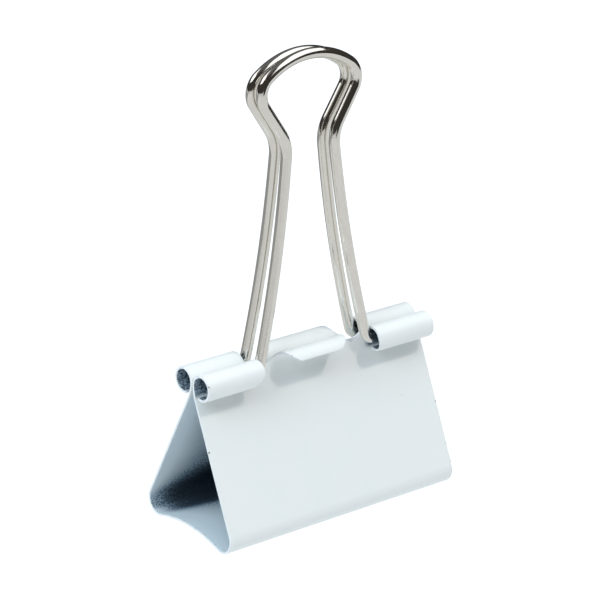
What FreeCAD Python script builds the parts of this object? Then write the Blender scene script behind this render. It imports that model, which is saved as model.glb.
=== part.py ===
"""Large binder clip: a folded spring-steel body held closed by its own spring, with two wire handles.

Frame: +X runs along the rolled tubes (the clip's width), -Y is the front, +Z is up.
The origin is midway between the two feet, on the surface the clip stands on. Millimetres.
"""
import FreeCAD, Part
import math
import os

# Folded sheet body
WIDTH = 51.0            # along the rolled tubes
DEPTH = 23.8            # across the two feet
SHEET = 0.45            # sheet thickness, paint included
FOOT_RADIUS = 2.85      # outside of the bend between spine and jaw
SPINE_RISE = 1.45       # height of the hollow under the middle of the spine

# Rolled top edge of each jaw
TUBE_RADIUS = 2.4       # outside of the roll
TUBE_HEIGHT = 28.6      # roll centre above the feet
JAW_GAP = 0.1           # between the two jaws at rest
ROLL_END = 290.0        # degrees of roll from the wall side over the top
FLAP_END = 158.0        # the same for the short middle flap
NECK_RADIUS = 10.0      # gentle bend where the flat wall runs into the roll
NECK_ANGLE = 8.0        # lean of the sheet where the roll starts, degrees

# Cut-outs in the roll that let the handles out, punched a little off centre. For the right side,
# 1, and the left side, -1, measured from the middle: inboard end of the tube, how far the tube's
# free corner is rounded away, and the edge of the middle flap on top and at its free edge
FRONT_CUTS = {1: (12.7, 0.8, 6.2, 4.15), -1: (13.05, 2.7, 7.1, 5.0)}
REAR_CUTS = {1: (12.7, 0.8, 6.2, 4.15), -1: (13.9, 3.0, 7.5, 5.4)}
CORNER_BULGE = 0.28     # fullness of the rounded corner, as a part of how far it reaches
NOTCH_FLOOR = 28.4      # height of the bottom of the cut-out
NOTCH_FILLET = 2.4      # radius beside the tube

# Lap between spine and jaw inside each foot bend
LAP_CLEARANCE = 0.03
OUTER_LEAF = 0.20       # the spine's half of the sheet in the lap
SPINE_LEAF_END = -60.0  # degrees round the foot, 0 = straight outwards
JAW_LEAF_END = -84.0
JAW_FULL_START = -36.0

# Wire handles
WIRE = 2.0              # wire diameter
HANDLE_HEIGHT = 54.4    # wire centre at the top of the loop, above the pivot
DOME_RADIUS = 15.3
DOME_ANGLE = 35.6       # half angle of the dome, degrees
SHOULDER_RADIUS = 3.6
FLARE_ANGLE = 33.5      # slope of the loop's sides from upright, degrees
FLARE_LENGTH = 6.1
NECK_BEND = 6.8         # radius of the bend below the loop
LEG_TOP_ANGLE = 6.0     # slope of the bowed legs at the neck, degrees
LEG_BASE_ANGLE = 14.6   # and where they enter the roll
BASE_BEND = 1.8         # radius of the bend into the roll
PIN_END = 19.8          # end of the wire inside the roll, from the middle
FRONT_LEAN = 4.35       # both handles rest tipped a little towards the rear, degrees
REAR_LEAN = 2.7
FRONT_REST = (-0.15, 0.6, 0.0)    # where the loose wire rests in the bore, off its middle
REAR_REST = (-0.08, 0.0, -0.55)

RIGHT = FreeCAD.Vector(1, 0, 0)
UP = FreeCAD.Vector(0, 0, 1)

FOOT_Y = DEPTH / 2 - FOOT_RADIUS
TUBE_Y = TUBE_RADIUS + JAW_GAP / 2
ROLL_RADIUS = TUBE_RADIUS - SHEET / 2


def wall_lean():
    """Lean of the flat wall, so that it runs tangent into both the neck and the foot."""
    reach = NECK_RADIUS - ROLL_RADIUS
    lean = math.radians(NECK_ANGLE)
    neck_y = TUBE_Y + reach * math.cos(lean)
    neck_z = TUBE_HEIGHT + reach * math.sin(lean)
    across = neck_y - FOOT_Y
    rise = neck_z - FOOT_RADIUS
    radii = NECK_RADIUS + FOOT_RADIUS - SHEET / 2
    angle = math.atan2(rise, across) - math.acos(radii / math.hypot(across, rise))
    return math.degrees(angle), neck_y, neck_z


WALL_LEAN, NECK_Y, NECK_Z = wall_lean()


def polar(y, z, radius, degrees):
    """Point on a circle in the YZ plane, at the left end of the clip."""
    a = math.radians(degrees)
    return FreeCAD.Vector(-WIDTH / 2, y + radius * math.cos(a), z + radius * math.sin(a))


def arc(y, z, radius, start, end):
    """Arc in the YZ plane."""
    return Part.Arc(
        polar(y, z, radius, start),
        polar(y, z, radius, (start + end) / 2),
        polar(y, z, radius, end),
    ).toShape()


def closed_profile(arcs):
    """Join arcs, in order, into one closed face with straight lines between them."""
    edges = []
    for i, edge in enumerate(arcs):
        edges.append(edge)
        here = edge.lastVertex(True).Point
        there = arcs[(i + 1) % len(arcs)].firstVertex(True).Point
        if here.distanceToPoint(there) > 1e-6:
            edges.append(Part.makeLine(here, there))
    return Part.Face(Part.Wire(edges))


def spine():
    """Arched back of the clip, ending in a thin leaf inside each foot."""
    arch = (FOOT_Y ** 2 + (FOOT_RADIUS - SPINE_RISE) ** 2 - FOOT_RADIUS ** 2)
    arch = arch / (2 * SPINE_RISE)
    arch_z = SPINE_RISE - arch
    tangent = math.degrees(math.atan2(FOOT_RADIUS - arch_z, FOOT_Y))
    foot_start = tangent - 180.0
    inner = FOOT_RADIUS - SHEET
    leaf = FOOT_RADIUS - OUTER_LEAF
    face = closed_profile([
        arc(0, arch_z, arch, 180.0 - tangent, tangent),
        arc(FOOT_Y, FOOT_RADIUS, FOOT_RADIUS, foot_start, SPINE_LEAF_END),
        arc(FOOT_Y, FOOT_RADIUS, leaf, SPINE_LEAF_END, foot_start),
        arc(0, arch_z, arch + SHEET, tangent, 180.0 - tangent),
        arc(-FOOT_Y, FOOT_RADIUS, leaf, -tangent, -180.0 - SPINE_LEAF_END),
        arc(-FOOT_Y, FOOT_RADIUS, FOOT_RADIUS, -180.0 - SPINE_LEAF_END, -tangent),
    ])
    return face.extrude(RIGHT * WIDTH)


def jaw_sheet():
    """Rear wall with its full-length roll, before the cut-outs."""
    foot = FOOT_RADIUS - SHEET
    leaf = FOOT_RADIUS - OUTER_LEAF - LAP_CLEARANCE
    thin = SHEET / 2
    neck_start = 180.0 + WALL_LEAN
    neck_end = 180.0 + NECK_ANGLE
    roll_end = 180.0 - ROLL_END
    face = closed_profile([
        arc(FOOT_Y, FOOT_RADIUS, FOOT_RADIUS, JAW_FULL_START, WALL_LEAN),
        arc(NECK_Y, NECK_Z, NECK_RADIUS - thin, neck_start, neck_end),
        arc(TUBE_Y, TUBE_HEIGHT, ROLL_RADIUS - thin, neck_end, roll_end),
        arc(TUBE_Y, TUBE_HEIGHT, ROLL_RADIUS + thin, roll_end, neck_end),
        arc(NECK_Y, NECK_Z, NECK_RADIUS + thin, neck_end, neck_start),
        arc(FOOT_Y, FOOT_RADIUS, foot, WALL_LEAN, JAW_LEAF_END),
        arc(FOOT_Y, FOOT_RADIUS, leaf, JAW_LEAF_END, JAW_FULL_START),
    ])
    return face.extrude(RIGHT * WIDTH)


def cutter(outline, y_from, y_to):
    """Straight-sided tool: an outline of edges in the XZ plane, extruded along Y."""
    face = Part.Face(Part.Wire(outline))
    face.translate(FreeCAD.Vector(0, y_from, 0))
    return face.extrude(FreeCAD.Vector(0, y_to - y_from, 0))


def xz(x, z):
    return FreeCAD.Vector(x, 0, z)


def notch(cuts, side):
    """Cut-out beside one tube, on the wall side of the roll."""
    tube, corner, flap_top, flap_edge = cuts[side]
    top = TUBE_HEIGHT + TUBE_RADIUS + 1.0
    shoulder = xz(side * tube, NOTCH_FLOOR + NOTCH_FILLET)
    middle = xz(
        side * (tube - NOTCH_FILLET * (1 - math.cos(math.radians(45)))),
        NOTCH_FLOOR + NOTCH_FILLET * (1 - math.sin(math.radians(45))),
    )
    floor = xz(side * (tube - NOTCH_FILLET), NOTCH_FLOOR)
    low = xz(side * (flap_top + 2.5), NOTCH_FLOOR + 0.3)
    foot = xz(side * (flap_top + 1.5), NOTCH_FLOOR + 1.2)
    edge = xz(side * flap_top, TUBE_HEIGHT + TUBE_RADIUS)
    outline = [
        Part.makeLine(xz(side * flap_top, top), xz(side * tube, top)),
        Part.makeLine(xz(side * tube, top), shoulder),
        Part.Arc(shoulder, middle, floor).toShape(),
        Part.Arc(floor, low, foot).toShape(),
        Part.makeLine(foot, edge),
        Part.makeLine(edge, xz(side * flap_top, top)),
    ]
    return cutter(outline, -1.0, TUBE_Y)


def roll_cut(cuts):
    """Everything removed from the outer half of the roll to leave the flap and two tubes."""
    top = TUBE_HEIGHT + TUBE_RADIUS
    bottom = TUBE_HEIGHT - TUBE_RADIUS - 0.3
    flap_z = TUBE_HEIGHT + TUBE_RADIUS * math.sin(math.radians(FLAP_END))
    corner_z = TUBE_HEIGHT + TUBE_RADIUS * math.sin(math.radians(165))
    edges = []
    for side, (tube, corner, flap_top, flap_edge) in cuts.items():
        low_edge = xz(side * flap_edge, flap_z)
        top_edge = xz(side * flap_top, top)
        over_flap = xz(side * flap_top, top + 1)
        over_tube = xz(side * tube, top + 1)
        tube_corner = xz(side * tube, corner_z)
        bulge = xz(side * (tube + corner * CORNER_BULGE), (corner_z + bottom) / 2 + 0.35)
        tube_end = xz(side * (tube + corner), bottom)
        edges.append(Part.makeLine(low_edge, top_edge))
        edges.append(Part.makeLine(top_edge, over_flap))
        edges.append(Part.makeLine(over_flap, over_tube))
        edges.append(Part.makeLine(over_tube, tube_corner))
        edges.append(Part.Arc(tube_corner, bulge, tube_end).toShape())
    right, left = cuts[1], cuts[-1]
    edges.append(Part.makeLine(xz(right[3], flap_z), xz(-left[3], flap_z)))
    edges.append(Part.makeLine(xz(right[0] + right[1], bottom), xz(-left[0] - left[1], bottom)))
    outline = Part.__sortEdges__(edges)
    return cutter(outline, TUBE_Y, TUBE_Y + TUBE_RADIUS + 1.0)


def lip_cut(cuts):
    """Last strip of the roll, tucked under the tubes, removed between them."""
    right, left = (cuts[side][0] + cuts[side][1] for side in (1, -1))
    corner = FreeCAD.Vector(-left, TUBE_Y - 1.0, TUBE_HEIGHT - TUBE_RADIUS - 0.3)
    return Part.makeBox(left + right, 1.0, 0.9, corner)


def jaw(cuts):
    """A jaw in the rear place: foot leaf, wall, tubes and middle flap."""
    shape = jaw_sheet()
    for tool in (notch(cuts, 1), notch(cuts, -1), roll_cut(cuts), lip_cut(cuts)):
        shape = shape.cut(tool)
    return shape.removeSplitter()


class Bender:
    """Bends a round wire in the XZ plane: straight lengths and arcs, each tangent to the last."""

    def __init__(self, x, z, heading):
        self.x = x
        self.z = z
        self.heading = heading
        self.pieces = []

    def direction(self, offset=0.0):
        a = math.radians(self.heading + offset)
        return FreeCAD.Vector(math.cos(a), 0, math.sin(a))

    def section(self):
        here = FreeCAD.Vector(self.x, 0, self.z)
        return Part.Face(Part.Wire(Part.makeCircle(WIRE / 2, here, self.direction())))

    def straight(self, length):
        step = self.direction() * length
        self.pieces.append(self.section().extrude(step))
        self.x += step.x
        self.z += step.z

    def bend(self, radius, turn):
        """Positive turn is anticlockwise, seen from the front."""
        side = math.copysign(90.0, turn)
        centre = FreeCAD.Vector(self.x, 0, self.z) + self.direction(side) * radius
        self.pieces.append(self.section().revolve(centre, FreeCAD.Vector(0, -1, 0), turn))
        self.heading += turn
        end = centre - self.direction(side) * radius
        self.x = end.x
        self.z = end.z


def handle(lean, y, rest):
    """One wire handle, its two ends lying in the rolls centred at the given Y."""
    leg = Bender(0, HANDLE_HEIGHT, 0)
    leg.bend(DOME_RADIUS, -DOME_ANGLE)
    leg.bend(SHOULDER_RADIUS, DOME_ANGLE - 90.0 - FLARE_ANGLE)
    leg.straight(FLARE_LENGTH)
    leg.bend(NECK_BEND, FLARE_ANGLE + LEG_TOP_ANGLE)
    drop = leg.z - BASE_BEND * (1 - math.sin(math.radians(LEG_BASE_ANGLE)))
    bow = math.sin(math.radians(LEG_BASE_ANGLE)) - math.sin(math.radians(LEG_TOP_ANGLE))
    leg.bend(drop / bow, LEG_BASE_ANGLE - LEG_TOP_ANGLE)
    leg.bend(BASE_BEND, 90.0 - LEG_BASE_ANGLE)
    leg.straight(PIN_END - leg.x)
    right = leg.pieces[0].multiFuse(leg.pieces[1:])
    left = right.mirror(FreeCAD.Vector(0, 0, 0), RIGHT)
    wire = right.fuse(left).removeSplitter()
    wire.rotate(FreeCAD.Vector(0, 0, 0), RIGHT, -lean)
    wire.translate(FreeCAD.Vector(rest[0], y + rest[1], TUBE_HEIGHT + rest[2]))
    return wire


def export(name, shape):
    if shape.ShapeType == "Compound" and len(shape.Solids) == 1:
        shape = shape.Solids[0]
    box = shape.BoundBox
    print(name, shape.ShapeType, "solids", len(shape.Solids), "valid", shape.isValid(),
          "volume %.1f" % shape.Volume,
          "x %.2f %.2f y %.2f %.2f z %.2f %.2f" % (box.XMin, box.XMax, box.YMin, box.YMax,
                                                   box.ZMin, box.ZMax))
    shape.exportStep("parts/" + name + ".step")


os.makedirs("parts", exist_ok=True)
export("spine", spine())
export("front_jaw", jaw(FRONT_CUTS).mirror(FreeCAD.Vector(0, 0, 0), FreeCAD.Vector(0, 1, 0)))
export("rear_jaw", jaw(REAR_CUTS))
export("front_handle", handle(FRONT_LEAN, -TUBE_Y, FRONT_REST))
export("rear_handle", handle(REAR_LEAN, TUBE_Y, REAR_REST))
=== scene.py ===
"""Looks for the large binder clip: painted sheet body and two nickel wire handles."""

import math

import bpy
import numpy as np
from mathutils import Matrix, Vector
from mathutils.geometry import delaunay_2d_cdt


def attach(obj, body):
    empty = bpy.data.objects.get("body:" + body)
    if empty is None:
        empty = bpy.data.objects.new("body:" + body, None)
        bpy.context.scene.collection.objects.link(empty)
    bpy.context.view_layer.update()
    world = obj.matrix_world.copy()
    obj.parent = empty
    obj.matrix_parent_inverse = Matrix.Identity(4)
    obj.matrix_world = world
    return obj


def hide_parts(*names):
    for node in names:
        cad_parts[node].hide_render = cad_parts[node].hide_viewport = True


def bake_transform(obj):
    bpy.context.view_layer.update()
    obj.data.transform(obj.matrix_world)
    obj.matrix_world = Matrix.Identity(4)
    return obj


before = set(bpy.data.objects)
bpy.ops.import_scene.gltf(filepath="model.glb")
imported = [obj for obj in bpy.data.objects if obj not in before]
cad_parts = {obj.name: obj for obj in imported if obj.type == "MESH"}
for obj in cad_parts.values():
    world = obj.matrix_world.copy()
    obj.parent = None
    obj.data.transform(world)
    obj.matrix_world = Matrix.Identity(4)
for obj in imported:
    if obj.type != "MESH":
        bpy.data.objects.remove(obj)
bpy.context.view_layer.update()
MM = 0.001

# ---------------------------------------------------------------- sizes in mm, as in the CAD
WIDTH = 51.0
DEPTH = 23.8
SHEET = 0.45
FOOT_RADIUS = 2.85
SPINE_RISE = 1.45
TUBE_RADIUS = 2.4
TUBE_HEIGHT = 28.6
JAW_GAP = 0.1
ROLL_FROM = 188.0       # roll angle where the neck ends, degrees
ROLL_TO = -110.0        # free edge of the tubes
FLAP_TO = 22.0          # free edge of the middle flap
NECK_RADIUS = 10.0
NOTCH_FLOOR = 28.4      # height of the bottom of the cut-outs
NOTCH_FILLET = 2.4      # radius beside the tube
# Cut-outs on the right, 1, and left, -1: inboard end of the tube, how far its free corner is
# rounded away, and the middle flap's edge on top and at its free edge
FRONT_CUTS = {1: (12.7, 0.8, 6.2, 4.15), -1: (13.05, 2.7, 7.1, 5.0)}
REAR_CUTS = {1: (12.7, 0.8, 6.2, 4.15), -1: (13.9, 3.0, 7.5, 5.4)}
CORNER_FROM = 165.0     # roll angle where the rounded corner starts, seen from the side
CORNER_BULGE = 0.28     # fullness of the rounded corner, as a part of how far it reaches
FLAP_FOOT = (1.5, 1.2)      # start of the flap's slanted side, out from its top and over the floor
FLAP_CURVE = (2.5, 0.3)     # middle of the curve between the floor and that side

HALF = SHEET / 2
END = WIDTH / 2
FOOT_Y = DEPTH / 2 - FOOT_RADIUS
TUBE_Y = TUBE_RADIUS + JAW_GAP / 2
ROLL_RADIUS = TUBE_RADIUS - HALF

WIRE = 2.0              # wire diameter
HANDLE_HEIGHT = 54.4    # centre line's height over the pins, at the top of the loop
DOME_RADIUS = 15.3
DOME_ANGLE = 35.6       # turn of the dome on each side of its top, degrees
SHOULDER_RADIUS = 3.6
FLARE_ANGLE = 33.5      # slope of the straight run in to the neck, from upright
FLARE_LENGTH = 6.1
NECK_BEND = 6.8
LEG_TOP = 6.0           # slope of the bowed leg at its top and at its base, degrees
LEG_BASE = 14.6
BASE_BEND = 1.8         # radius of the bend into the pin
PIN_END = 19.8          # end of the pin, across from the middle
# Lean of each handle towards the rear, in degrees, and where its pins' line crosses the middle
HANDLES = {
    "front_handle": (4.35, (-0.15, 0.6 - TUBE_Y, TUBE_HEIGHT)),
    "rear_handle": (2.7, (-0.08, TUBE_Y, TUBE_HEIGHT - 0.55)),
}

# Not in the CAD: small roundings, and the spacing of the mesh along the cut edge
BLANK_CORNER = 0.34     # radius of the flat sheet's sharp corners
PIN_ROUND = 0.25        # how far the rounding of the wire's ends reaches along it
EDGE_STEP = 0.55


# ---------------------------------------------------------------- section of the folded sheet
class Arc:
    """Round part of the sheet's middle line. Heights over it are towards the wall's outer face."""

    def __init__(self, y, z, radius, start, end, outward):
        self.centre = (y, z)
        self.radius = radius
        self.start = math.radians(start)
        self.sweep = math.radians(end - start)
        self.outward = outward
        self.length = abs(self.sweep) * radius

    def at(self, along, height):
        angle = self.start + self.sweep * along / self.length
        reach = self.radius + self.outward * height
        return (self.centre[0] + reach * np.cos(angle), self.centre[1] + reach * np.sin(angle),
                self.outward * np.cos(angle), self.outward * np.sin(angle))


class Line:
    """Straight part of the sheet's middle line."""

    def __init__(self, y, z, heading, length):
        self.start = (y, z)
        self.step = (math.cos(heading), math.sin(heading))
        self.normal = (math.sin(heading), -math.cos(heading))
        self.length = length

    def at(self, along, height):
        one = np.ones_like(along)
        return (self.start[0] + self.step[0] * along + self.normal[0] * height,
                self.start[1] + self.step[1] * along + self.normal[1] * height,
                self.normal[0] * one, self.normal[1] * one)


def section():
    """Spine middle to the free edge of the rear roll, as arcs and a line, each tangent to the last."""
    arch = (FOOT_Y ** 2 + (FOOT_RADIUS - SPINE_RISE) ** 2 - FOOT_RADIUS ** 2) / (2 * SPINE_RISE)
    arch_z = SPINE_RISE - arch
    tangent = math.degrees(math.atan2(FOOT_RADIUS - arch_z, FOOT_Y))
    neck = math.radians(ROLL_FROM - 180)
    neck_y = TUBE_Y + (NECK_RADIUS - ROLL_RADIUS) * math.cos(neck)
    neck_z = TUBE_HEIGHT + (NECK_RADIUS - ROLL_RADIUS) * math.sin(neck)
    across, rise = neck_y - FOOT_Y, neck_z - FOOT_RADIUS
    lean = math.atan2(rise, across) - math.acos(
        (NECK_RADIUS + FOOT_RADIUS - HALF) / math.hypot(across, rise))
    foot = FOOT_RADIUS - HALF
    wall_y = FOOT_Y + foot * math.cos(lean)
    wall_z = FOOT_RADIUS + foot * math.sin(lean)
    top_y = neck_y - NECK_RADIUS * math.cos(lean)
    top_z = neck_z - NECK_RADIUS * math.sin(lean)
    return [
        Arc(0, arch_z, arch + HALF, 90.0, tangent, -1),
        Arc(FOOT_Y, FOOT_RADIUS, foot, tangent - 180.0, math.degrees(lean), 1),
        Line(wall_y, wall_z, math.pi / 2 + lean, math.hypot(top_y - wall_y, top_z - wall_z)),
        Arc(neck_y, neck_z, NECK_RADIUS, 180.0 + math.degrees(lean), ROLL_FROM, -1),
        Arc(TUBE_Y, TUBE_HEIGHT, ROLL_RADIUS, ROLL_FROM, ROLL_TO, -1),
    ]


PARTS = section()
STARTS = np.concatenate([[0.0], np.cumsum([p.length for p in PARTS])])
S_FOOT, S_WALL, S_NECK, S_ROLL, S_END = STARTS[1:]


def sheet_at(s, height):
    """Points (y, z) and outward normals (y, z) at distance s along the section."""
    s = np.asarray(s, float)
    height = np.broadcast_to(np.asarray(height, float), s.shape)
    out = np.zeros((4, len(s)))
    which = np.clip(np.searchsorted(STARTS, s, side="right") - 1, 0, len(PARTS) - 1)
    for i, part in enumerate(PARTS):
        m = which == i
        if m.any():
            out[:, m] = part.at(s[m] - STARTS[i], height[m])
    return out


def roll_s(angle):
    """Distance along the section of a roll angle in degrees."""
    return S_ROLL + math.radians(ROLL_FROM - angle) * ROLL_RADIUS


def wall_side(z):
    """Roll angle of height z on the wall's side of the roll."""
    return 180.0 - math.degrees(math.asin(max(-1.0, min(1.0, (z - TUBE_HEIGHT) / TUBE_RADIUS))))


def free_side(z):
    """Roll angle of height z on the free side of the roll."""
    return 180.0 - wall_side(z)


# ---------------------------------------------------------------- outline of the sheet, flat
def three_point_arc(a, b, c, steps):
    """Points on the circle through a, b and c, from a to c."""
    (ax, ay), (bx, by), (cx, cy) = a, b, c
    d = 2 * (ax * (by - cy) + bx * (cy - ay) + cx * (ay - by))
    a2, b2, c2 = ax * ax + ay * ay, bx * bx + by * by, cx * cx + cy * cy
    ux = (a2 * (by - cy) + b2 * (cy - ay) + c2 * (ay - by)) / d
    uy = (a2 * (cx - bx) + b2 * (ax - cx) + c2 * (bx - ax)) / d
    r = math.hypot(ax - ux, ay - uy)
    t0, t1, t2 = (math.atan2(p[1] - uy, p[0] - ux) for p in (a, b, c))
    turn = (t2 - t0) % (2 * math.pi)
    if (t1 - t0) % (2 * math.pi) > turn:
        turn -= 2 * math.pi
    return [(ux + r * math.cos(t0 + turn * k / steps), uy + r * math.sin(t0 + turn * k / steps))
            for k in range(steps + 1)]


def half_cut(cuts, side):
    """Outline from one tube's free edge at its outer end to the flap's free edge, as (x, s)."""
    tube, corner, flap_top, flap_edge = cuts[side]
    corner_z = TUBE_HEIGHT + TUBE_RADIUS * math.sin(math.radians(CORNER_FROM))
    low_z = TUBE_HEIGHT - TUBE_RADIUS - 0.3
    top = TUBE_HEIGHT + TUBE_RADIUS
    points = [(END, S_END), (tube + corner, S_END)]
    bulge = (tube + corner * CORNER_BULGE, (corner_z + low_z) / 2 + 0.35)
    for x, z in three_point_arc((tube + corner, low_z), bulge, (tube, corner_z), 28):
        if z > TUBE_HEIGHT - TUBE_RADIUS * 0.985:
            points.append((x, roll_s(free_side(z))))
    inset = NOTCH_FILLET * (1 - math.sqrt(0.5))
    shoulder = (tube, NOTCH_FLOOR + NOTCH_FILLET)
    middle = (tube - inset, NOTCH_FLOOR + inset)
    floor = (tube - NOTCH_FILLET, NOTCH_FLOOR)
    curve = (flap_top + FLAP_CURVE[0], NOTCH_FLOOR + FLAP_CURVE[1])
    foot = (flap_top + FLAP_FOOT[0], NOTCH_FLOOR + FLAP_FOOT[1])
    notch = three_point_arc(shoulder, middle, floor, 12)
    notch += three_point_arc(floor, curve, foot, 6)[1:]
    notch += [(foot[0] + (flap_top - foot[0]) * k / 8, foot[1] + (top - foot[1]) * k / 8)
              for k in range(1, 9)]
    points += [(x, roll_s(wall_side(z))) for x, z in notch]
    edge_z = TUBE_HEIGHT + TUBE_RADIUS * math.sin(math.radians(FLAP_TO))
    for k in range(1, 11):
        angle = 90 + (FLAP_TO - 90) * k / 10
        down = (top - TUBE_HEIGHT - TUBE_RADIUS * math.sin(math.radians(angle))) / (top - edge_z)
        points.append((flap_top + (flap_edge - flap_top) * down, roll_s(angle)))
    return [(side * x, s) for x, s in points]


def rounded(points, radius, keep):
    """Closed outline with its corners sharper than 12 degrees rounded off, apart from those kept."""
    out = []
    for i, here in enumerate(points):
        p, a, b = (np.array(v, float) for v in (here, points[i - 1], points[(i + 1) % len(points)]))
        u, v = a - p, b - p
        lu, lv = np.linalg.norm(u), np.linalg.norm(v)
        turn = math.pi - math.acos(max(-1.0, min(1.0, float(u @ v) / (lu * lv))))
        if turn < math.radians(12) or i in keep:
            out.append(p)
            continue
        cut = min(radius * math.tan(turn / 2), lu * 0.45, lv * 0.45)
        start, end = p + u / lu * cut, p + v / lv * cut
        for t in np.linspace(0, 1, 6):
            out.append(start * (1 - t) ** 2 + p * 2 * t * (1 - t) + end * t ** 2)
    return out


def spaced(points, step):
    """The same closed outline, anticlockwise, with no side longer than step or next to nothing."""
    out = []
    for i, p in enumerate(points):
        q = points[(i + 1) % len(points)]
        count = max(1, math.ceil(np.linalg.norm(q - p) / step))
        for k in range(count):
            point = p + (q - p) * k / count
            if not out or np.linalg.norm(point - out[-1]) > 0.03:
                out.append(point)
    loop = np.array(out)
    ahead = np.roll(loop, -1, 0)
    area = np.sum(loop[:, 0] * ahead[:, 1] - ahead[:, 0] * loop[:, 1])
    return loop if area > 0 else loop[::-1]


def inward_normals(loop):
    """Unit normals to the left of an anticlockwise loop."""
    ahead = np.roll(loop, -1, 0) - loop
    ahead /= np.linalg.norm(ahead, axis=1)[:, None]
    both = ahead + np.roll(ahead, 1, 0)
    both /= np.linalg.norm(both, axis=1)[:, None]
    return np.stack([-both[:, 1], both[:, 0]], 1)


def inside(points, loop):
    """Which points lie inside the closed loop."""
    x, y = points[:, 0], points[:, 1]
    hit = np.zeros(len(points), bool)
    for (x0, y0), (x1, y1) in zip(loop, np.roll(loop, -1, 0)):
        crosses = (y0 > y) != (y1 > y)
        if crosses.any():
            hit ^= crosses & (x < (x1 - x0) * (y - y0) / ((y1 - y0) or 1e-12) + x0)
    return hit


def distance_to(points, loop, skip=None):
    """Distance from each point to the closed loop, apart from the sides skipped."""
    best = np.full(len(points), 1e9)
    for i, (a, b) in enumerate(zip(loop, np.roll(loop, -1, 0))):
        if skip is not None and skip[i]:
            continue
        d = b - a
        t = np.clip(((points - a) @ d) / (d @ d), 0, 1)
        best = np.minimum(best, np.linalg.norm(points - a - t[:, None] * d, axis=1))
    return best


def grid_points():
    """Mesh points over the flat sheet: closer together along its bends and near its open ends."""
    near_end = [0.4, 0.8, 1.3, 1.9, 2.6, 3.4, 4.3, 5.3]
    xs = [END - d for d in near_end] + list(np.arange(0.5, END - 5.6, 1.0))
    steps = (0.75, 0.24, 1.0, 0.5, 0.19)
    ss = [S_END]
    for start, part, step in zip(STARTS, PARTS, steps):
        count = math.ceil(part.length / step)
        ss += [start + part.length * k / count for k in range(count)]
    return np.array([(x, s) for s in sorted(ss + [-v for v in ss if v > 0])
                     for x in sorted(xs + [-v for v in xs])])


def fill(loop):
    """Points and triangles that fill the loop, its own points first and in order."""
    grid = grid_points()
    low, high = loop.min(0), loop.max(0)
    grid = grid[((grid > low) & (grid < high)).all(1)]
    grid = grid[inside(grid, loop)]
    grid = grid[distance_to(grid, loop) > 0.09]
    points = [Vector(p) for p in np.vstack([loop, grid])]
    made, _, faces, origin, _, _ = delaunay_2d_cdt(points, [], [list(range(len(loop)))], 1, 1e-7)
    place = np.array([ids[0] for ids in origin])
    order = np.argsort(place)
    rank = np.empty(len(order), int)
    rank[order] = np.arange(len(order))
    return np.array([tuple(p) for p in made])[order], [[int(rank[v]) for v in f] for f in faces]


# ---------------------------------------------------------------- paint on the sheet
# How far white overspray reaches in from the open ends, by distance along the inside of the sheet,
# negative in front
REACH = [
    (-S_ROLL, 10.0), (-S_WALL - 8, 9.5), (-S_WALL - 2, 6.5), (-S_WALL, 5.0), (-S_WALL + 2.5, 4.5),
    (-S_FOOT - 1.0, 7.0), (-5.0, 14.0), (-1.0, 18.0), (0.0, 17.0), (2.0, 14.0), (4.0, 10.5), (6.0, 4.6),
    (S_FOOT - 1.0, 2.7), (S_FOOT, 2.5), (S_FOOT + 1.5, 2.4), (S_FOOT + 3.2, 2.3), (S_WALL - 1.2, 2.8),
    (S_WALL, 3.9), (S_WALL + 2, 5.9), (S_WALL + 4, 8.8), (S_WALL + 8, 10.5), (S_ROLL, 10.0),
]
# Share of paint there against depth from the end, in reaches
FADE = [(0.15, 1.05), (0.5, 0.86), (0.8, 0.68), (1.1, 0.51), (1.3, 0.39), (1.5, 0.28), (1.7, 0.20),
        (1.9, 0.14), (2.3, 0.08), (3.0, 0.05), (4.5, 0.03)]
# Darker round the inside of the rear foot bend: a factor on the share of paint, against distance
REAR_FOOT = [(S_FOOT + 1.7, 1.0), (S_FOOT + 2.5, 0.55), (S_FOOT + 4.2, 0.60), (S_WALL + 0.5, 1.0)]
BORE_LIGHT = (0.12, 0.38)       # share of paint deep in a bore, and what its open ends have more
BORE_START = S_ROLL - 2.4       # where the outer face turns into the bore, down in the neck


def coverage(x, s, face):
    """Share of paint, from 0 bare to 1 full, on the wall's outer face (+1) or inner face (-1).
    The outer face goes on as the bore of each roll, and the inner face as its outside."""
    depth = END - np.abs(x)
    along = np.abs(s)
    angle = ROLL_FROM - np.degrees(np.maximum(along - S_ROLL, 0) / ROLL_RADIUS)
    if face > 0:
        inner = np.where(x > 0, FRONT_CUTS[1][0], FRONT_CUTS[-1][0])
        in_tube = np.abs(x) > inner - 0.2
        from_end = np.maximum(np.minimum(depth, np.abs(x) - inner), 0)
        bore = BORE_LIGHT[0] + BORE_LIGHT[1] * np.exp(-(from_end / 1.9) ** 1.3)
        bore += (1 - bore) * np.clip((S_ROLL - 1.5 - along) / 0.8, 0, 1)
        flap = 1 - 0.05 * np.clip((165 - angle) / 60, 0, 1)
        return np.where(along < BORE_START, 1.0, np.where(in_tube, bore, flap))
    reach = np.interp(s, *zip(*REACH))
    cover = np.interp(depth / reach, *zip(*FADE)) * np.interp(s, *zip(*REAR_FOOT))
    lips = np.clip((along - (S_ROLL - 1.2)) / 1.4, 0, 1)
    return np.clip(np.maximum(cover, lips), 0, 1)


# ---------------------------------------------------------------- sheet pieces
# Rounded rim of the cut edge: distance in from the outline, height over the middle of the sheet,
# and tilt of the normal
RIM = [(0.13, HALF, 90.0), (0.075, HALF - 0.012, 62.0), (0.03, HALF - 0.05, 35.0),
       (0.0, HALF - 0.13, 0.0)]
RIM += [(inset, -height, -tilt) for inset, height, tilt in reversed(RIM)]


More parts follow.
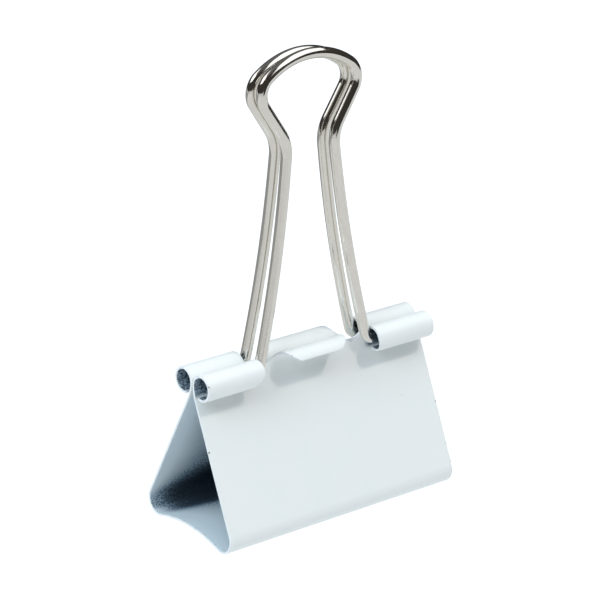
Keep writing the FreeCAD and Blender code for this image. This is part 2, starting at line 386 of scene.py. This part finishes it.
def put_mesh(name, points, faces, normals, values, vectors, material):
    """A smooth mesh with exact normals, from points in mm."""
    mesh = bpy.data.meshes.new(name)
    mesh.from_pydata([tuple(p * MM) for p in points], [], [tuple(f) for f in faces])
    mesh.polygons.foreach_set("use_smooth", [True] * len(mesh.polygons))
    mesh.materials.append(material)
    for key, data in values.items():
        layer = mesh.attributes.new(key, "FLOAT", "POINT")
        layer.data.foreach_set("value", np.asarray(data, np.float32))
    for key, data in vectors.items():
        layer = mesh.attributes.new(key, "FLOAT_VECTOR", "POINT")
        layer.data.foreach_set("vector", np.asarray(data, np.float32).ravel())
    mesh.normals_split_custom_set_from_vertices([tuple(n) for n in normals])
    mesh.update()
    obj = bpy.data.objects.new(name, mesh)
    bpy.context.scene.collection.objects.link(obj)
    return obj


def sheet_piece(name, outline, side, seams, material):
    """A solid piece of the bent sheet from its flat outline. side is +1 at the rear, -1 in front.
    seams are the distances where the sheet runs on into the next piece, with no rim."""
    keep = [i for i, p in enumerate(outline) if p[1] in seams]
    loop = spaced(rounded(outline, BLANK_CORNER, keep), EDGE_STEP)
    inward = inward_normals(loop)
    on_seam = np.isin(loop[:, 1], seams)
    at_end = np.abs(loop[:, 0]) > END - 1e-6
    inward[on_seam] = 0.0
    inward[on_seam & at_end, 0] = -np.sign(loop[on_seam & at_end, 0])
    points, normals, flats, heights = [], [], [], []

    def add(flat, height, tilt, inward):
        """Points of the bent sheet. tilt turns their normals from the face, 90, to the rim, 0."""
        y, z, ny, nz = sheet_at(np.abs(flat[:, 1]), height)
        low = flat[:, 1] < 0
        sign = np.where(low, -1.0, 1.0) * side
        up, level = math.sin(math.radians(tilt)), math.cos(math.radians(tilt))
        out_s = np.where(low, inward[:, 1], -inward[:, 1]) * level
        normal = np.stack(
            [-inward[:, 0] * level, sign * (ny * up - nz * out_s), nz * up + ny * out_s], 1)
        points.append(np.stack([flat[:, 0], sign * y, z], 1))
        normals.append(normal / np.maximum(np.linalg.norm(normal, axis=1), 1e-9)[:, None])
        flats.append(flat)
        heights.append(np.full(len(flat), height))

    flat, triangles = fill(loop + inward * RIM[0][0])
    no_rim = np.zeros((len(flat), 2))
    add(flat, HALF, 90.0, no_rim)
    add(flat, -HALF, -90.0, no_rim)
    for inset, height, tilt in RIM[1:-1]:
        add(loop + inward * inset, height, tilt, inward)

    faces = []
    inner = len(flat)
    for triangle in triangles:
        face = triangle if side < 0 else triangle[::-1]
        faces.append(face)
        faces.append([v + inner for v in reversed(face)])
    count = len(loop)
    rings = [0] + [2 * inner + k * count for k in range(len(RIM) - 2)] + [inner]
    for a, b in zip(rings, rings[1:]):
        for i in range(count):
            j = (i + 1) % count
            quad = [a + i, a + j, b + j, b + i]
            faces.append(quad[::-1] if side < 0 else quad)

    points, normals, flats = np.vstack(points), np.vstack(normals), np.vstack(flats)
    heights = np.concatenate(heights)
    edge = distance_to(flats, loop, on_seam & np.roll(on_seam, -1))
    x, s, outer = flats[:, 0], flats[:, 1] * side, heights > 0
    cover = np.where(outer, coverage(x, s, 1), coverage(x, s, -1))
    cover[np.abs(heights) < HALF - 1e-9] = 1.0
    below_roll = np.clip((S_ROLL - 1.5 - np.abs(s)) / 1.5, 0, 1)
    # The "inside" mark carries painted shade: the material paints the inner face below the rolls darker
    # and bluer
    marks = {"cover": cover, "edge": edge, "inside": np.where(heights < HALF - 0.02, below_roll, 0.0)}
    place = np.stack([x, s, np.where(outer, 0.0, 40.0)], 1)
    place[outer & (np.abs(s) > S_ROLL - 2.0)] *= 0.5  # coarser speckle in the bores
    return put_mesh(name, points, faces, normals, marks, {"flat": place}, material)


# ---------------------------------------------------------------- wire handles
def wire_path():
    """Right half of a handle's centre line, from the top of the loop to the wire's end in the roll.
    Rows of across, up, heading and distance along."""
    x, h, heading, run = 0.0, HANDLE_HEIGHT, 0.0, 0.0
    rows = [(x, h, heading, run)]

    def bend(radius, turn, step=2.5):
        nonlocal x, h, heading, run
        count = max(2, math.ceil(abs(turn) / step))
        side = math.copysign(math.pi / 2, turn)
        cx, ch = x + radius * math.cos(heading + side), h + radius * math.sin(heading + side)
        first, length = heading, abs(math.radians(turn)) * radius
        for k in range(1, count + 1):
            heading = first + math.radians(turn) * k / count
            x, h = cx - radius * math.cos(heading + side), ch - radius * math.sin(heading + side)
            rows.append((x, h, heading, run + length * k / count))
        run += length

    def straight(length, step=1.5):
        nonlocal x, h, run
        count = max(1, math.ceil(length / step))
        for k in range(1, count + 1):
            gone = length * k / count
            rows.append((x + gone * math.cos(heading), h + gone * math.sin(heading), heading, run + gone))
        x, h, run = rows[-1][0], rows[-1][1], run + length

    bend(DOME_RADIUS, -DOME_ANGLE)
    bend(SHOULDER_RADIUS, DOME_ANGLE - 90.0 - FLARE_ANGLE, 4)
    straight(FLARE_LENGTH)
    bend(NECK_BEND, FLARE_ANGLE + LEG_TOP)
    spread = math.sin(math.radians(LEG_BASE)) - math.sin(math.radians(LEG_TOP))
    drop = h - BASE_BEND * (1 - math.sin(math.radians(LEG_BASE)))
    bend(drop / spread, LEG_BASE - LEG_TOP, 0.4)
    bend(BASE_BEND, 90.0 - LEG_BASE, 5)
    straight(PIN_END - PIN_ROUND - x)
    return np.array(rows)


def handle_piece(name, lean, place, material):
    """One wire handle, swept along its centre line, with both ends slightly rounded."""
    right = wire_path()
    left = right[:0:-1] * [-1, 1, 1, -1]
    left[:, 2] = -left[:, 2]
    path = np.vstack([left, right])
    lean = math.radians(lean)
    across = np.array([0, math.cos(lean), -math.sin(lean)])
    turns = 40
    angles = np.arange(turns) * 2 * math.pi / turns
    points, normals, flats = [], [], []

    def ring(row, inset=0.0, push=0.0, tilt=0.0):
        """One ring of points round the wire, inset and pushed along it at the rounded ends."""
        x, h, heading, run = row
        forward = np.array([math.cos(heading), math.sin(heading) * math.sin(lean),
                            math.sin(heading) * math.cos(lean)])
        side = np.cross(across, forward)
        centre = np.array(place) + (x, h * math.sin(lean), h * math.cos(lean)) + forward * push
        spoke = np.cos(angles)[:, None] * side + np.sin(angles)[:, None] * across
        points.append(centre + spoke * (WIRE / 2 - inset))
        normals.append(spoke * math.cos(tilt) + forward * math.sin(tilt))
        flats.append(np.stack([np.full(turns, run), angles, np.full(turns, lean * 100)], 1))

    rounding = ((0.12, 0.2, 0.7), (0.30, PIN_ROUND, 1.2))
    for inset, push, tilt in rounding[::-1]:
        ring(path[0], inset, -push, -tilt)
    for row in path:
        ring(row)
    for inset, push, tilt in rounding:
        ring(path[-1], inset, push, tilt)
    count = len(points)
    faces = []
    for k in range(count - 1):
        for i in range(turns):
            j = (i + 1) % turns
            faces.append([k * turns + i, k * turns + j, (k + 1) * turns + j, (k + 1) * turns + i])
    faces.append(list(range(turns))[::-1])
    faces.append([(count - 1) * turns + i for i in range(turns)])
    return put_mesh(name, np.vstack(points), faces, np.vstack(normals), {},
                    {"flat": np.vstack(flats)}, material)


# ---------------------------------------------------------------- materials
class Nodes:
    """Short names for building a node material."""

    def __init__(self, name):
        self.material = bpy.data.materials.new(name)
        self.material.use_nodes = True
        self.tree = self.material.node_tree
        self.tree.nodes.clear()
        self.shader = self.tree.nodes.new("ShaderNodeBsdfPrincipled")
        output = self.tree.nodes.new("ShaderNodeOutputMaterial")
        self.link(self.shader.outputs[0], output.inputs[0])

    def link(self, a, b):
        self.tree.links.new(a, b)

    def set(self, node, key, value):
        if isinstance(value, bpy.types.NodeSocket):
            self.link(value, node.inputs[key])
        else:
            node.inputs[key].default_value = value

    def attribute(self, name, output):
        node = self.tree.nodes.new("ShaderNodeAttribute")
        node.attribute_name = name
        return node.outputs[output]

    def math(self, operation, a, b=0.0, c=0.0, clamp=False):
        node = self.tree.nodes.new("ShaderNodeMath")
        node.operation = operation
        node.use_clamp = clamp
        for i, value in enumerate((a, b, c)):
            self.set(node, i, value)
        return node.outputs[0]

    def range(self, value, low, high, to_low=0.0, to_high=1.0):
        node = self.tree.nodes.new("ShaderNodeMapRange")
        node.interpolation_type = "SMOOTHSTEP"
        for i, v in enumerate((value, low, high, to_low, to_high)):
            self.set(node, i, v)
        return node.outputs[0]

    def stretch(self, vector, scale):
        node = self.tree.nodes.new("ShaderNodeVectorMath")
        node.operation = "MULTIPLY"
        self.set(node, 0, vector)
        node.inputs[1].default_value = scale
        return node.outputs[0]

    def noise(self, vector, scale, detail=2.0, roughness=0.5):
        node = self.tree.nodes.new("ShaderNodeTexNoise")
        self.set(node, "Vector", vector)
        node.inputs["Scale"].default_value = scale
        node.inputs["Detail"].default_value = detail
        node.inputs["Roughness"].default_value = roughness
        return node.outputs["Fac"]

    def cells(self, vector, scale, output="Distance"):
        node = self.tree.nodes.new("ShaderNodeTexVoronoi")
        self.set(node, "Vector", vector)
        node.inputs["Scale"].default_value = scale
        return node.outputs[output]

    def mix(self, factor, a, b):
        node = self.tree.nodes.new("ShaderNodeMix")
        node.data_type = "RGBA"
        self.set(node, 0, factor)
        for i, colour in ((6, a), (7, b)):
            if isinstance(colour, tuple):
                colour = (*colour, 1.0)
            self.set(node, i, colour)
        return node.outputs[2]

    def mix_value(self, factor, a, b):
        node = self.tree.nodes.new("ShaderNodeMix")
        for i, value in enumerate((factor, a, b)):
            self.set(node, (0, 2, 3)[i], value)
        return node.outputs[0]

    def bump(self, height, strength, distance, normal=None):
        node = self.tree.nodes.new("ShaderNodeBump")
        self.set(node, "Height", height)
        node.inputs["Strength"].default_value = strength
        node.inputs["Distance"].default_value = distance
        if normal is not None:
            self.link(normal, node.inputs["Normal"])
        return node.outputs[0]


def paint_material():
    """Gloss white enamel, thinning to speckled overspray on dark blued steel, with painted shade on the
    inner face.
    """
    n = Nodes("white_enamel")
    flat = n.attribute("flat", "Vector")
    cover = n.attribute("cover", "Fac")
    edge = n.attribute("edge", "Fac")
    grain = n.noise(flat, 3.4, 3.0, 0.7)
    coarse = n.noise(flat, 1.3, 2.0)
    droplets = n.range(grain, 0.37, 0.64, 0.04, 1.96)
    speckle = n.math("MULTIPLY", droplets, n.range(coarse, 0.25, 0.75, 0.75, 1.25))
    speckle = n.mix_value(n.range(cover, 0.35, 0.85), speckle, 1.0)
    thin = n.math("MULTIPLY", cover, speckle, clamp=True)
    full = n.range(cover, 0.93, 0.99)
    painted = n.math("MAXIMUM", thin, full)
    # Chips where the paint is thin over the cut edges, and a few dust specks
    chip_places = n.range(n.noise(flat, 0.9, 4.0, 0.6), 0.635, 0.675)
    chips = n.math("MULTIPLY", chip_places, n.range(edge, 0.38, 0.12))
    pick = n.tree.nodes.new("ShaderNodeSeparateColor")
    n.link(n.cells(flat, 0.16, "Color"), pick.inputs[0])
    half_of_them = n.math("GREATER_THAN", pick.outputs[0], 0.50)
    specks = n.math("MULTIPLY", n.range(n.cells(flat, 0.16), 0.030, 0.012), half_of_them)
    dark = n.math("MAXIMUM", chips, n.math("MULTIPLY", specks, 0.75))
    shown = n.math("MULTIPLY", painted, n.math("SUBTRACT", 1.0, dark))
    # White, bluer where it is thin, and duller on the cut edge. On the inner face below the rolls it is
    # painted darker and bluer, as painted shade of the inside of the body.
    cloud = n.noise(flat, 0.12, 3.0, 0.55)
    white = n.mix(n.range(cloud, 0.3, 0.7), (0.775, 0.818, 0.803), (0.80, 0.824, 0.816))
    # Painted shade: the "inside" mark darkens the white and turns it bluer on the inner face of the body
    white = n.mix(n.attribute("inside", "Fac"), white, (0.70, 0.795, 0.84))
    white = n.mix(n.range(cover, 0.95, 0.15), white, (0.58, 0.80, 0.98))
    white = n.mix(n.range(edge, 0.15, 0.04), white, (0.76, 0.79, 0.80))
    steel = n.mix(grain, (0.015, 0.024, 0.037), (0.042, 0.062, 0.088))
    n.set(n.shader, "Base Color", n.mix(shown, steel, white))
    n.set(n.shader, "Metallic", n.math("MULTIPLY", n.math("SUBTRACT", 1.0, shown), 0.35))
    rough = n.math("MULTIPLY_ADD", n.noise(flat, 0.35, 3.0), 0.08, 0.27)
    n.set(n.shader, "Roughness", n.math("MULTIPLY_ADD", n.math("SUBTRACT", 1.0, full), 0.25, rough))
    n.shader.inputs["Specular IOR Level"].default_value = 0.45
    orange_peel = n.bump(n.noise(flat, 1.6, 2.0), 0.10, 0.00004)
    pits = n.math("MULTIPLY", dark, -1.0)
    relief = n.math("MULTIPLY_ADD", n.math("SUBTRACT", 1.0, full), grain, pits)
    n.set(n.shader, "Normal", n.bump(relief, 0.5, 0.00003, orange_peel))
    return n.material


def wire_material():
    """Bright nickel over drawn steel wire, with fine lines along it and patches of haze."""
    n = Nodes("nickel_wire")
    flat = n.attribute("flat", "Vector")
    lines = n.noise(n.stretch(flat, (0.25, 9.0, 1.0)), 1.0, 3.0, 0.6)
    haze = n.noise(n.stretch(flat, (0.5, 1.2, 1.0)), 1.0, 3.0, 0.55)
    tone = n.math("MULTIPLY_ADD", lines, 0.25, n.math("MULTIPLY", haze, 0.75))
    colour = n.mix(n.range(tone, 0.3, 0.7), (0.83, 0.82, 0.765), (0.89, 0.88, 0.83))
    n.set(n.shader, "Base Color", colour)
    n.shader.inputs["Metallic"].default_value = 1.0
    fine = n.math("MULTIPLY_ADD", lines, 0.05, 0.04)
    n.set(n.shader, "Roughness", n.math("MULTIPLY_ADD", haze, 0.09, fine))
    n.set(n.shader, "Normal", n.bump(lines, 0.06, 0.00003))
    return n.material


# ---------------------------------------------------------------- build the clip
paint = paint_material()
nickel = wire_material()


def jaw_outline(cuts):
    """Flat outline of a jaw from the middle of its foot bend, as (x, s)."""
    return [(END, S_FOOT)] + half_cut(cuts, 1) + half_cut(cuts, -1)[::-1] + [(-END, S_FOOT)]


spine_outline = [(-END, -S_FOOT), (END, -S_FOOT), (END, S_FOOT), (-END, S_FOOT)]
spine_sheet = sheet_piece("sheet_spine", spine_outline, 1, [-S_FOOT, S_FOOT], paint)
front_sheet = sheet_piece("sheet_front_wall", jaw_outline(FRONT_CUTS), -1, [S_FOOT], paint)
rear_sheet = sheet_piece("sheet_rear_wall", jaw_outline(REAR_CUTS), 1, [S_FOOT], paint)

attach(spine_sheet, "spine")
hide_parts("spine")
for piece, body, side in ((front_sheet, "front_jaw", -1), (rear_sheet, "rear_jaw", 1)):
    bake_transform(piece)
    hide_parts(body)

for body, (lean, place) in HANDLES.items():
    piece = handle_piece("wire_" + body, lean, place, nickel)
    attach(piece, body)
    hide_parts(body)


# ---------------------------------------------------------------- stage, light and camera
def plain(name, colour, glow, tint=(1.0, 1.0, 1.0)):
    """A matt stage material with some light of its own, in the tint given."""
    material = bpy.data.materials.new(name)
    material.use_nodes = True
    shader = material.node_tree.nodes["Principled BSDF"]
    shader.inputs["Base Color"].default_value = (*colour, 1.0)
    shader.inputs["Roughness"].default_value = 0.9
    shader.inputs["Specular IOR Level"].default_value = 0.0
    shader.inputs["Emission Color"].default_value = (*tint, 1.0)
    shader.inputs["Emission Strength"].default_value = glow
    return material


def stage_piece(name, points, faces, material, seen_by):
    """A part of the studio, seen only by the kinds of light ray named."""
    mesh = bpy.data.meshes.new(name)
    mesh.from_pydata(points, [], faces)
    mesh.materials.append(material)
    obj = bpy.data.objects.new(name, mesh)
    bpy.context.scene.collection.objects.link(obj)
    for ray in ("camera", "diffuse", "glossy", "transmission", "shadow", "volume_scatter"):
        setattr(obj, "visible_" + ray, ray in seen_by)


def level_card(name, outline, z, material, seen_by=("glossy",)):
    """A level card from its outline, seen from above. Only the wires mirror it, unless told."""
    corners = [(x, y, z) for x, y in outline]
    stage_piece(name, corners, [tuple(range(len(corners)))], material, seen_by)


def area_light(name, azimuth, elevation, distance, size, power, tint=(1.0, 1.0, 1.0)):
    """A soft light aimed at the clip, never mirrored. Azimuth 0 is in front, 90 on the right."""
    data = bpy.data.lights.new(name, "AREA")
    data.shape = "RECTANGLE"
    data.size, data.size_y = size
    data.energy = power
    data.color = tint
    light = bpy.data.objects.new(name, data)
    a, e = math.radians(azimuth), math.radians(elevation)
    away = Vector((math.sin(a) * math.cos(e), -math.cos(a) * math.cos(e), math.sin(e)))
    light.location = Vector((0, 0, 0.03)) + away * distance
    light.rotation_mode = "QUATERNION"
    light.rotation_quaternion = away.to_track_quat("Z", "Y")
    light.visible_camera = False
    light.visible_glossy = False
    bpy.context.scene.collection.objects.link(light)


# Sizes in metres
FAR = 6.0               # floor and backdrop, out from the clip
ROOM_HEIGHT = 4.0
ROOM_FOOT = -0.05       # backdrop and room start under the floor
FLOOR_DEPTH = 0.032     # under the loops of handles folded down past the spine
BOX_HEIGHT = 1.08       # softboxes over the table
APRON_AWAY = 0.75
DARK = (0.0, 0.0, 0.0)

level_card("floor", [(-FAR, -FAR), (FAR, -FAR), (FAR, FAR), (-FAR, FAR)], -FLOOR_DEPTH,
           plain("floor", (0.22, 0.22, 0.22), 0.92, (0.94, 1.0, 1.06)), ("camera", "diffuse", "shadow"))
around = [(FAR * math.cos(k * math.pi / 16), FAR * math.sin(k * math.pi / 16)) for k in range(32)]
sides = [(k, (k + 1) % 32, 32 + (k + 1) % 32, 32 + k) for k in range(32)]
stage_piece("backdrop", [(x, y, z) for z in (ROOM_FOOT, FAR) for x, y in around], sides,
            plain("backdrop", DARK, 1.0), ("camera",))

# What the wires mirror: a white table with its edges turned up, softboxes over it and a dim room
level_card("table_mirrored",
           [(-1.42, -1.42), (0.08, -0.95), (0.40, -0.57), (0.87, -0.57), (0.87, 0.14), (-1.11, 0.14)],
           -FLOOR_DEPTH, plain("table", DARK, 0.68))
apron = plain("apron", DARK, 0.60)
for name, first, last, height in (("apron_front", -92, -10, 0.12), ("apron_left", -164, -92, 0.06)):
    turns = [math.radians(first + (last - first) * k / 12) for k in range(13)]
    corners = [(APRON_AWAY * math.sin(a), -APRON_AWAY * math.cos(a), z)
               for z in (0.0, height) for a in turns]
    stage_piece(name, corners, [(k, k + 1, k + 14, k + 13) for k in range(12)], apron, ("glossy",))
level_card("table_back_mirrored", [(-1.6, 0.14), (1.6, 0.14), (1.6, 1.6), (-1.6, 1.6)],
           -FLOOR_DEPTH, plain("table_back", DARK, 0.30))
softbox = plain("softbox", DARK, 1.35)
level_card("softbox_mirrored",
           [(0.0, -0.27), (0.04, -1.08), (0.50, -1.50), (1.00, -2.10), (1.24, -1.44), (1.41, -0.88),
            (1.24, -0.39), (1.10, 0.27), (0.71, 0.41), (0.30, 0.22)], BOX_HEIGHT, softbox)
level_card("softbox_back_mirrored",
           [(-1.70, 1.42), (-1.35, 0.49), (-1.12, 0.0), (-0.54, -0.10), (-0.43, 0.08), (-0.25, 0.44),
            (-0.07, 0.78), (-0.29, 1.25)], BOX_HEIGHT, softbox)
level_card("ceiling_mirrored", [(-0.4, -0.2), (1.2, -0.2), (1.6, 1.9), (-0.4, 2.4), (-1.6, 1.5)],
           BOX_HEIGHT + 0.01, plain("ceiling", DARK, 0.12))
room_points = [(x, y, z) for z in (ROOM_FOOT, ROOM_HEIGHT) for x, y in around] + [(0, 0, ROOM_HEIGHT)]
stage_piece("room_mirrored", room_points, sides + [(32 + (k + 1) % 32, 32 + k, 64) for k in range(32)],
            plain("room", DARK, 1.0, (0.038, 0.033, 0.030)), ("glossy",))

# Overhead dome of soft light, tipped a little to the right
DOME_TIP = math.radians(10)
world = bpy.data.worlds.new("studio")
world.use_nodes = True
tree = world.node_tree
direction = tree.nodes.new("ShaderNodeTexCoord")
towards = tree.nodes.new("ShaderNodeVectorMath")
towards.operation = "DOT_PRODUCT"
towards.inputs[1].default_value = (math.sin(DOME_TIP), 0.0, math.cos(DOME_TIP))
tree.links.new(direction.outputs["Generated"], towards.inputs[0])
dome = tree.nodes.new("ShaderNodeMapRange")
dome.inputs["From Min"].default_value = math.cos(math.radians(46))
dome.inputs["From Max"].default_value = math.cos(math.radians(42))
tree.links.new(towards.outputs["Value"], dome.inputs["Value"])
sky = tree.nodes.new("ShaderNodeMix")
sky.data_type = "RGBA"
sky.inputs[6].default_value = (0.05, 0.05, 0.05, 1.0)
sky.inputs[7].default_value = (1.62, 1.74, 1.90, 1.0)
tree.links.new(dome.outputs[0], sky.inputs[0])
tree.links.new(sky.outputs[2], tree.nodes["Background"].inputs[0])
tree.nodes["Background"].inputs[1].default_value = 0.82
world.cycles_visibility.glossy = False
bpy.context.scene.world = world

area_light("key", 44.5, 55.0, 1.1, (0.08, 0.08), 2.9, (1.12, 1.0, 0.90))
area_light("front", -10.0, 25.0, 1.2, (0.8, 0.5), 0.45)
area_light("back_top", 175.0, 68.0, 1.1, (0.5, 0.5), 0.6)
area_light("left", -80.0, 40.0, 1.0, (0.5, 0.5), 5.1, (0.86, 0.98, 1.06))
area_light("left_back", -138.0, 23.0, 1.0, (0.6, 0.27), 1.2, (0.86, 0.98, 1.06))

# Camera: angles in degrees, then the point looked at, shifts across and up from it, distance,
# lens and sensor width in mm
AZIMUTH, ELEVATION, ROLL = -39.873, 22.432, 2.077
AIM, AIM_RIGHT, AIM_UP, DISTANCE = (0, 0, 30.0), -1.324, 7.645, 533.619
LENS, SENSOR = 182.0409, 36.0
camera_data = bpy.data.cameras.new("camera")
camera = bpy.data.objects.new("camera", camera_data)
bpy.context.scene.collection.objects.link(camera)
azimuth, elevation, roll = (math.radians(v) for v in (AZIMUTH, ELEVATION, ROLL))
back = Vector((math.sin(azimuth) * math.cos(elevation), -math.cos(azimuth) * math.cos(elevation),
               math.sin(elevation)))
level = Vector((math.cos(azimuth), math.sin(azimuth), 0.0))
upright = back.cross(level)
right = level * math.cos(roll) + upright * math.sin(roll)
top = upright * math.cos(roll) - level * math.sin(roll)
spot = (Vector(AIM) + right * AIM_RIGHT + top * AIM_UP + back * DISTANCE) * MM
axes = Matrix((right, top, back)).transposed().to_4x4()
camera.matrix_world = Matrix.Translation(spot) @ axes
camera_data.sensor_width = SENSOR
camera_data.lens = LENS
camera_data.clip_start, camera_data.clip_end = 0.01, 20.0
bpy.context.scene.camera = camera
bpy.context.scene.view_settings.view_transform = "Standard"
